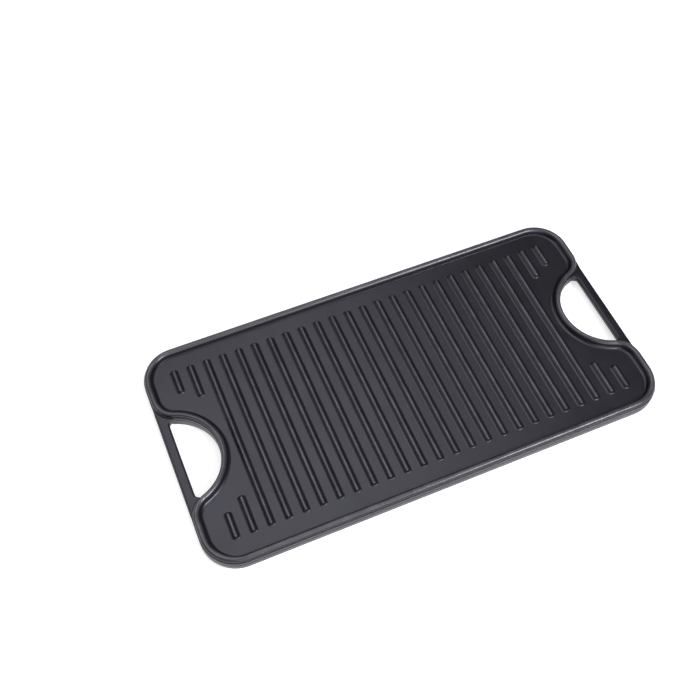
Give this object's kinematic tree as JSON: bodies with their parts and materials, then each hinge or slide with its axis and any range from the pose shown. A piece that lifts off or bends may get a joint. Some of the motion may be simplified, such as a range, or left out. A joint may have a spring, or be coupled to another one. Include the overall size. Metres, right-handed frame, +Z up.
{
  "type": "griddle plate",
  "caption": "Long reversible cast iron griddle plate, ridged on one face and smooth on the other, with a raised rim round each face and a hand hole behind a bar at each end.",
  "frame": {"origin": "middle of the plate, on the plane that the smooth face's rim rests on", "axes": "+X along the plate from the left handle to the right handle, +Y to the rear long side, +Z up out of the ridged face"},
  "size_m": [0.508, 0.26, 0.021],
  "materials": {
    "seasoned_iron": "satin, seasoned"
  },
  "bodies": {
    "root": {"plate_web": "seasoned_iron", "left_handle": "seasoned_iron", "right_handle": "seasoned_iron", "grill_side_rim": "seasoned_iron", "flat_side_rim": "seasoned_iron", "long_ridges": "seasoned_iron", "front_left_ridges": "seasoned_iron", "rear_left_ridges": "seasoned_iron", "front_right_ridges": "seasoned_iron", "rear_right_ridges": "seasoned_iron"}
  },
  "joints": []
}
